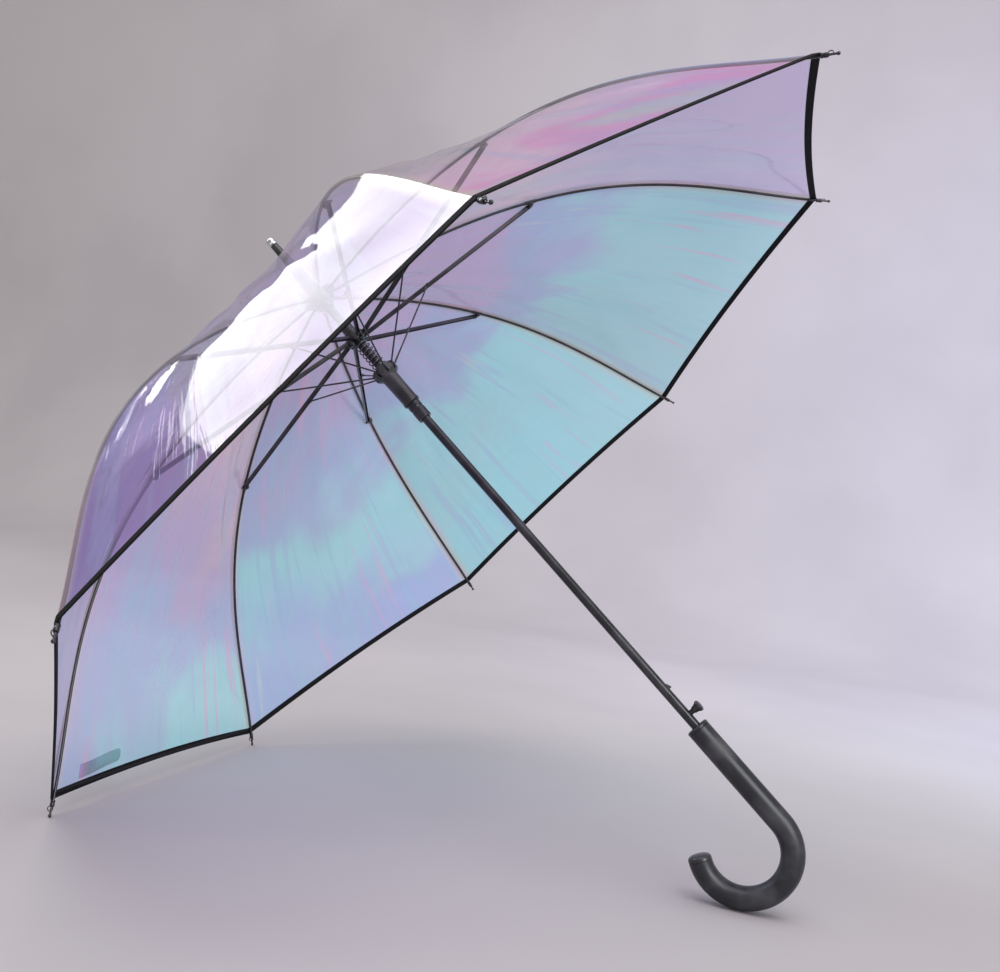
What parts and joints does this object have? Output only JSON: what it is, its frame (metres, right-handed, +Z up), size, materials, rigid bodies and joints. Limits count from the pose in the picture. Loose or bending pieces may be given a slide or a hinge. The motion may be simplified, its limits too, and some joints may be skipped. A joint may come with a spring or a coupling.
{
  "type": "stick umbrella",
  "caption": "Opened clear bubble umbrella with an iridescent film canopy, bowed ribs, a sprung runner on a straight shaft and a hook handle, lying on its side.",
  "frame": {"origin": "on the floor under the middle of the opened umbrella's box, with the umbrella lying on two rib tips and the bend of its hook", "axes": "+Z up; the shaft lies in the XZ plane, its ferrule up towards -X and its handle down towards +X; Y runs across the canopy"},
  "size_m": [0.695, 0.9468, 0.7338],
  "materials": {
    "film": "clear iridescent film, glossy",
    "hem_binding": "woven edge tape",
    "frame_steel": "black, satin",
    "black_plastic": "moulded, semi-gloss",
    "grip": "soft-touch, satin",
    "spring_steel": "dark oiled",
    "bright_steel": "bright"
  },
  "bodies": {
    "root": {"shaft": "frame_steel", "top_notch": "black_plastic", "crown_cap": "black_plastic", "ferrule": "black_plastic", "ferrule_tip": "bright_steel", "handle_grip": "grip", "handle_end_cap": "black_plastic", "catch_spring": "spring_steel"},
    "runner": {"runner_sleeve": "black_plastic", "runner_collar": "frame_steel"},
    "upper_ring": {"upper_ring": "black_plastic", "ring_collar": "black_plastic", "main_spring": "spring_steel"},
    "push_button": {"push_button": "black_plastic"},
    "lower_catch": {"lower_catch": "spring_steel"},
    "rib_1": {"rib_1": "frame_steel"},
    "stretcher_1": {"stretcher_1": "frame_steel"},
    "wire_1": {"wire_1": "frame_steel"},
    "film_1_right": {"film_1_right": "film"},
    "film_1_left": {"film_1_left": "film", "closure_strap": "film", "strap_snap": "black_plastic"},
    "rib_2": {"rib_2": "frame_steel"},
    "stretcher_2": {"stretcher_2": "frame_steel"},
    "wire_2": {"wire_2": "frame_steel"},
    "film_2_right": {"film_2_right": "film"},
    "film_2_left": {"film_2_left": "film"},
    "rib_3": {"rib_3": "frame_steel"},
    "stretcher_3": {"stretcher_3": "frame_steel"},
    "wire_3": {"wire_3": "frame_steel"},
    "film_3_right": {"film_3_right": "film"},
    "film_3_left": {"film_3_left": "film"},
    "rib_4": {"rib_4": "frame_steel"},
    "stretcher_4": {"stretcher_4": "frame_steel"},
    "wire_4": {"wire_4": "frame_steel"},
    "film_4_right": {"film_4_right": "film"},
    "film_4_left": {"film_4_left": "film"},
    "rib_5": {"rib_5": "frame_steel"},
    "stretcher_5": {"stretcher_5": "frame_steel"},
    "wire_5": {"wire_5": "frame_steel"},
    "film_5_right": {"film_5_right": "film"},
    "film_5_left": {"film_5_left": "film"},
    "rib_6": {"rib_6": "frame_steel"},
    "stretcher_6": {"stretcher_6": "frame_steel"},
    "wire_6": {"wire_6": "frame_steel"},
    "film_6_right": {"film_6_right": "film"},
    "film_6_left": {"film_6_left": "film"},
    "rib_7": {"rib_7": "frame_steel"},
    "stretcher_7": {"stretcher_7": "frame_steel"},
    "wire_7": {"wire_7": "frame_steel"},
    "film_7_right": {"film_7_right": "film"},
    "film_7_left": {"film_7_left": "film"},
    "rib_8": {"rib_8": "frame_steel"},
    "stretcher_8": {"stretcher_8": "frame_steel"},
    "wire_8": {"wire_8": "frame_steel"},
    "film_8_right": {"film_8_right": "film"},
    "film_8_left": {"film_8_left": "film"}
  },
  "joints": [
    {"name": "runner_slide", "type": "slide", "parent": "root", "child": "runner", "axis": [0.7735, 0, -0.6337], "range_m": [0, 0.36984], "stiffness_N_per_m": 120, "springref_m": -0.12},
    {"name": "ring_slide", "type": "slide", "parent": "root", "child": "upper_ring", "axis": [0.7735, 0, -0.6337], "range_m": [0, 0.4052], "deforming": ["main_spring"]},
    {"name": "button_press", "type": "slide", "parent": "root", "child": "push_button", "axis": [-0.6337, 0, -0.7735], "range_m": [0, 0.0025], "stiffness_N_per_m": 400, "springref_m": -0.003},
    {"name": "catch_press", "type": "slide", "parent": "root", "child": "lower_catch", "axis": [-0.6337, 0, -0.7735], "range_m": [0, 0.0025]},
    {"name": "rib_1_pivot", "type": "hinge", "parent": "root", "child": "rib_1", "pos_m": [-0.22613, -0.00419, 0.52305], "axis": [0.2425, -0.9239, 0.296], "range_deg": [0, 62.09]},
    {"name": "stretcher_1_pivot", "type": "hinge", "parent": "upper_ring", "child": "stretcher_1", "pos_m": [-0.17879, -0.00691, 0.48726], "axis": [-0.2425, 0.9239, -0.296], "range_deg": [0, 71.82]},
    {"name": "wire_1_pivot", "type": "hinge", "parent": "runner", "child": "wire_1", "pos_m": [-0.143, -0.00501, 0.45441], "axis": [-0.2425, 0.9239, -0.296], "range_deg": [0, 46.13]},
    {"name": "film_1_right_fold", "type": "hinge", "parent": "rib_1", "child": "film_1_right", "pos_m": [-0.22672, -0.00277, 0.52797], "axis": [-0.1719, -0.3412, -0.9241], "range_deg": [0, 74], "deforming": ["film_1_right"]},
    {"name": "film_1_left_fold", "type": "hinge", "parent": "rib_1", "child": "film_1_left", "pos_m": [-0.22672, -0.00277, 0.52797], "axis": [0.1719, 0.3412, 0.9241], "range_deg": [0, 74], "deforming": ["film_1_left", "closure_strap"]},
    {"name": "rib_2_pivot", "type": "hinge", "parent": "root", "child": "rib_2", "pos_m": [-0.22238, -0.01012, 0.52764], "axis": [0.5855, -0.3827, 0.7147], "range_deg": [0, 62.09]},
    {"name": "stretcher_2_pivot", "type": "hinge", "parent": "upper_ring", "child": "stretcher_2", "pos_m": [-0.17424, -0.0104, 0.49281], "axis": [-0.5855, 0.3827, -0.7147], "range_deg": [0, 71.82]},
    {"name": "wire_2_pivot", "type": "hinge", "parent": "runner", "child": "wire_2", "pos_m": [-0.1388, -0.01099, 0.45954], "axis": [-0.5855, 0.3827, -0.7147], "range_deg": [0, 46.13]},
    {"name": "film_2_right_fold", "type": "hinge", "parent": "rib_2", "child": "film_2_right", "pos_m": [-0.22424, -0.00668, 0.531], "axis": [0.1339, -0.8238, -0.5509], "range_deg": [0, 74], "deforming": ["film_2_right"]},
    {"name": "film_2_left_fold", "type": "hinge", "parent": "rib_2", "child": "film_2_left", "pos_m": [-0.22424, -0.00668, 0.531], "axis": [-0.1339, 0.8238, 0.5509], "range_deg": [0, 74], "deforming": ["film_2_left"]},
    {"name": "rib_3_pivot", "type": "hinge", "parent": "root", "child": "rib_3", "pos_m": [-0.21707, -0.01012, 0.53412], "axis": [0.5855, 0.3827, 0.7147], "range_deg": [0, 62.09]},
    {"name": "stretcher_3_pivot", "type": "hinge", "parent": "upper_ring", "child": "stretcher_3", "pos_m": [-0.16947, -0.0078, 0.49864], "axis": [-0.5855, -0.3827, -0.7147], "range_deg": [0, 71.82]},
    {"name": "wire_3_pivot", "type": "hinge", "parent": "runner", "child": "wire_3", "pos_m": [-0.13315, -0.01053, 0.46643], "axis": [-0.5855, -0.3827, -0.7147], "range_deg": [0, 46.13]},
    {"name": "film_3_right_fold", "type": "hinge", "parent": "rib_3", "child": "film_3_right", "pos_m": [-0.22073, -0.00668, 0.53528], "axis": [0.5664, -0.8238, -0.023], "range_deg": [0, 74], "deforming": ["film_3_right"]},
    {"name": "film_3_left_fold", "type": "hinge", "parent": "rib_3", "child": "film_3_left", "pos_m": [-0.22073, -0.00668, 0.53528], "axis": [-0.5664, 0.8238, 0.023], "range_deg": [0, 74], "deforming": ["film_3_left"]},
    {"name": "rib_4_pivot", "type": "hinge", "parent": "root", "child": "rib_4", "pos_m": [-0.21331, -0.00419, 0.5387], "axis": [0.2425, 0.9239, 0.296], "range_deg": [0, 62.09]},
    {"name": "stretcher_4_pivot", "type": "hinge", "parent": "upper_ring", "child": "stretcher_4", "pos_m": [-0.16725, -0.00063, 0.50134], "axis": [-0.2425, -0.9239, -0.296], "range_deg": [0, 71.82]},
    {"name": "wire_4_pivot", "type": "hinge", "parent": "runner", "child": "wire_4", "pos_m": [-0.12936, -0.0039, 0.47106], "axis": [-0.2425, -0.9239, -0.296], "range_deg": [0, 46.13]},
    {"name": "film_4_right_fold", "type": "hinge", "parent": "rib_4", "child": "film_4_right", "pos_m": [-0.21825, -0.00277, 0.53831], "axis": [0.8723, -0.3412, 0.3503], "range_deg": [0, 74], "deforming": ["film_4_right"]},
    {"name": "film_4_left_fold", "type": "hinge", "parent": "rib_4", "child": "film_4_left", "pos_m": [-0.21825, -0.00277, 0.53831], "axis": [-0.8723, 0.3412, -0.3503], "range_deg": [0, 74], "deforming": ["film_4_left"]},
    {"name": "rib_5_pivot", "type": "hinge", "parent": "root", "child": "rib_5", "pos_m": [-0.21331, 0.00419, 0.5387], "axis": [-0.2425, 0.9239, -0.296], "range_deg": [0, 62.09]},
    {"name": "stretcher_5_pivot", "type": "hinge", "parent": "upper_ring", "child": "stretcher_5", "pos_m": [-0.1689, 0.00691, 0.49933], "axis": [0.2425, -0.9239, 0.296], "range_deg": [0, 71.82]},
    {"name": "wire_5_pivot", "type": "hinge", "parent": "runner", "child": "wire_5", "pos_m": [-0.12965, 0.00501, 0.4707], "axis": [0.2425, -0.9239, 0.296], "range_deg": [0, 46.13]},
    {"name": "film_5_right_fold", "type": "hinge", "parent": "rib_5", "child": "film_5_right", "pos_m": [-0.21825, 0.00277, 0.53831], "axis": [0.8723, 0.3412, 0.3503], "range_deg": [0, 74], "deforming": ["film_5_right"]},
    {"name": "film_5_left_fold", "type": "hinge", "parent": "rib_5", "child": "film_5_left", "pos_m": [-0.21825, 0.00277, 0.53831], "axis": [-0.8723, -0.3412, -0.3503], "range_deg": [0, 74], "deforming": ["film_5_left"]},
    {"name": "rib_6_pivot", "type": "hinge", "parent": "root", "child": "rib_6", "pos_m": [-0.21707, 0.01012, 0.53412], "axis": [-0.5855, 0.3827, -0.7147], "range_deg": [0, 62.09]},
    {"name": "stretcher_6_pivot", "type": "hinge", "parent": "upper_ring", "child": "stretcher_6", "pos_m": [-0.17345, 0.0104, 0.49378], "axis": [0.5855, -0.3827, 0.7147], "range_deg": [0, 71.82]},
    {"name": "wire_6_pivot", "type": "hinge", "parent": "runner", "child": "wire_6", "pos_m": [-0.13386, 0.01099, 0.46558], "axis": [0.5855, -0.3827, 0.7147], "range_deg": [0, 46.13]},
    {"name": "film_6_right_fold", "type": "hinge", "parent": "rib_6", "child": "film_6_right", "pos_m": [-0.22073, 0.00668, 0.53528], "axis": [0.5664, 0.8238, -0.023], "range_deg": [0, 74], "deforming": ["film_6_right"]},
    {"name": "film_6_left_fold", "type": "hinge", "parent": "rib_6", "child": "film_6_left", "pos_m": [-0.22073, 0.00668, 0.53528], "axis": [-0.5664, -0.8238, 0.023], "range_deg": [0, 74], "deforming": ["film_6_left"]},
    {"name": "rib_7_pivot", "type": "hinge", "parent": "root", "child": "rib_7", "pos_m": [-0.22238, 0.01012, 0.52764], "axis": [-0.5855, -0.3827, -0.7147], "range_deg": [0, 62.09]},
    {"name": "stretcher_7_pivot", "type": "hinge", "parent": "upper_ring", "child": "stretcher_7", "pos_m": [-0.17823, 0.0078, 0.48795], "axis": [0.5855, 0.3827, 0.7147], "range_deg": [0, 71.82]},
    {"name": "wire_7_pivot", "type": "hinge", "parent": "runner", "child": "wire_7", "pos_m": [-0.13951, 0.01053, 0.45868], "axis": [0.5855, 0.3827, 0.7147], "range_deg": [0, 46.13]},
    {"name": "film_7_right_fold", "type": "hinge", "parent": "rib_7", "child": "film_7_right", "pos_m": [-0.22424, 0.00668, 0.531], "axis": [0.1339, 0.8238, -0.5509], "range_deg": [0, 74], "deforming": ["film_7_right"]},
    {"name": "film_7_left_fold", "type": "hinge", "parent": "rib_7", "child": "film_7_left", "pos_m": [-0.22424, 0.00668, 0.531], "axis": [-0.1339, -0.8238, 0.5509], "range_deg": [0, 74], "deforming": ["film_7_left"]},
    {"name": "rib_8_pivot", "type": "hinge", "parent": "root", "child": "rib_8", "pos_m": [-0.22613, 0.00419, 0.52305], "axis": [-0.2425, -0.9239, -0.296], "range_deg": [0, 62.09]},
    {"name": "stretcher_8_pivot", "type": "hinge", "parent": "upper_ring", "child": "stretcher_8", "pos_m": [-0.18044, 0.00063, 0.48525], "axis": [0.2425, 0.9239, 0.296], "range_deg": [0, 71.82]},
    {"name": "wire_8_pivot", "type": "hinge", "parent": "runner", "child": "wire_8", "pos_m": [-0.1433, 0.0039, 0.45405], "axis": [0.2425, 0.9239, 0.296], "range_deg": [0, 46.13]},
    {"name": "film_8_right_fold", "type": "hinge", "parent": "rib_8", "child": "film_8_right", "pos_m": [-0.22672, 0.00277, 0.52797], "axis": [-0.1719, 0.3412, -0.9241], "range_deg": [0, 74], "deforming": ["film_8_right"]},
    {"name": "film_8_left_fold", "type": "hinge", "parent": "rib_8", "child": "film_8_left", "pos_m": [-0.22672, 0.00277, 0.52797], "axis": [0.1719, -0.3412, 0.9241], "range_deg": [0, 74], "deforming": ["film_8_left"]}
  ],
  "couplings": [
    {"joint": "ring_slide", "follows": "runner_slide", "ratio": 1.0956},
    {"joint": "catch_press", "follows": "button_press", "ratio": 1},
    {"joint": "rib_1_pivot", "follows": "runner_slide", "rad_per_m": 2.9301},
    {"joint": "stretcher_1_pivot", "follows": "runner_slide", "rad_per_m": 3.3891},
    {"joint": "wire_1_pivot", "follows": "runner_slide", "rad_per_m": 2.1769},
    {"joint": "film_1_right_fold", "follows": "runner_slide", "rad_per_m": 3.4922},
    {"joint": "film_1_left_fold", "follows": "runner_slide", "rad_per_m": 3.4922},
    {"joint": "rib_2_pivot", "follows": "runner_slide", "rad_per_m": 2.9301},
    {"joint": "stretcher_2_pivot", "follows": "runner_slide", "rad_per_m": 3.3891},
    {"joint": "wire_2_pivot", "follows": "runner_slide", "rad_per_m": 2.1769},
    {"joint": "film_2_right_fold", "follows": "runner_slide", "rad_per_m": 3.4922},
    {"joint": "film_2_left_fold", "follows": "runner_slide", "rad_per_m": 3.4922},
    {"joint": "rib_3_pivot", "follows": "runner_slide", "rad_per_m": 2.9301},
    {"joint": "stretcher_3_pivot", "follows": "runner_slide", "rad_per_m": 3.3891},
    {"joint": "wire_3_pivot", "follows": "runner_slide", "rad_per_m": 2.1769},
    {"joint": "film_3_right_fold", "follows": "runner_slide", "rad_per_m": 3.4922},
    {"joint": "film_3_left_fold", "follows": "runner_slide", "rad_per_m": 3.4922},
    {"joint": "rib_4_pivot", "follows": "runner_slide", "rad_per_m": 2.9301},
    {"joint": "stretcher_4_pivot", "follows": "runner_slide", "rad_per_m": 3.3891},
    {"joint": "wire_4_pivot", "follows": "runner_slide", "rad_per_m": 2.1769},
    {"joint": "film_4_right_fold", "follows": "runner_slide", "rad_per_m": 3.4922},
    {"joint": "film_4_left_fold", "follows": "runner_slide", "rad_per_m": 3.4922},
    {"joint": "rib_5_pivot", "follows": "runner_slide", "rad_per_m": 2.9301},
    {"joint": "stretcher_5_pivot", "follows": "runner_slide", "rad_per_m": 3.3891},
    {"joint": "wire_5_pivot", "follows": "runner_slide", "rad_per_m": 2.1769},
    {"joint": "film_5_right_fold", "follows": "runner_slide", "rad_per_m": 3.4922},
    {"joint": "film_5_left_fold", "follows": "runner_slide", "rad_per_m": 3.4922},
    {"joint": "rib_6_pivot", "follows": "runner_slide", "rad_per_m": 2.9301},
    {"joint": "stretcher_6_pivot", "follows": "runner_slide", "rad_per_m": 3.3891},
    {"joint": "wire_6_pivot", "follows": "runner_slide", "rad_per_m": 2.1769},
    {"joint": "film_6_right_fold", "follows": "runner_slide", "rad_per_m": 3.4922},
    {"joint": "film_6_left_fold", "follows": "runner_slide", "rad_per_m": 3.4922},
    {"joint": "rib_7_pivot", "follows": "runner_slide", "rad_per_m": 2.9301},
    {"joint": "stretcher_7_pivot", "follows": "runner_slide", "rad_per_m": 3.3891},
    {"joint": "wire_7_pivot", "follows": "runner_slide", "rad_per_m": 2.1769},
    {"joint": "film_7_right_fold", "follows": "runner_slide", "rad_per_m": 3.4922},
    {"joint": "film_7_left_fold", "follows": "runner_slide", "rad_per_m": 3.4922},
    {"joint": "rib_8_pivot", "follows": "runner_slide", "rad_per_m": 2.9301},
    {"joint": "stretcher_8_pivot", "follows": "runner_slide", "rad_per_m": 3.3891},
    {"joint": "wire_8_pivot", "follows": "runner_slide", "rad_per_m": 2.1769},
    {"joint": "film_8_right_fold", "follows": "runner_slide", "rad_per_m": 3.4922},
    {"joint": "film_8_left_fold", "follows": "runner_slide", "rad_per_m": 3.4922}
  ]
}
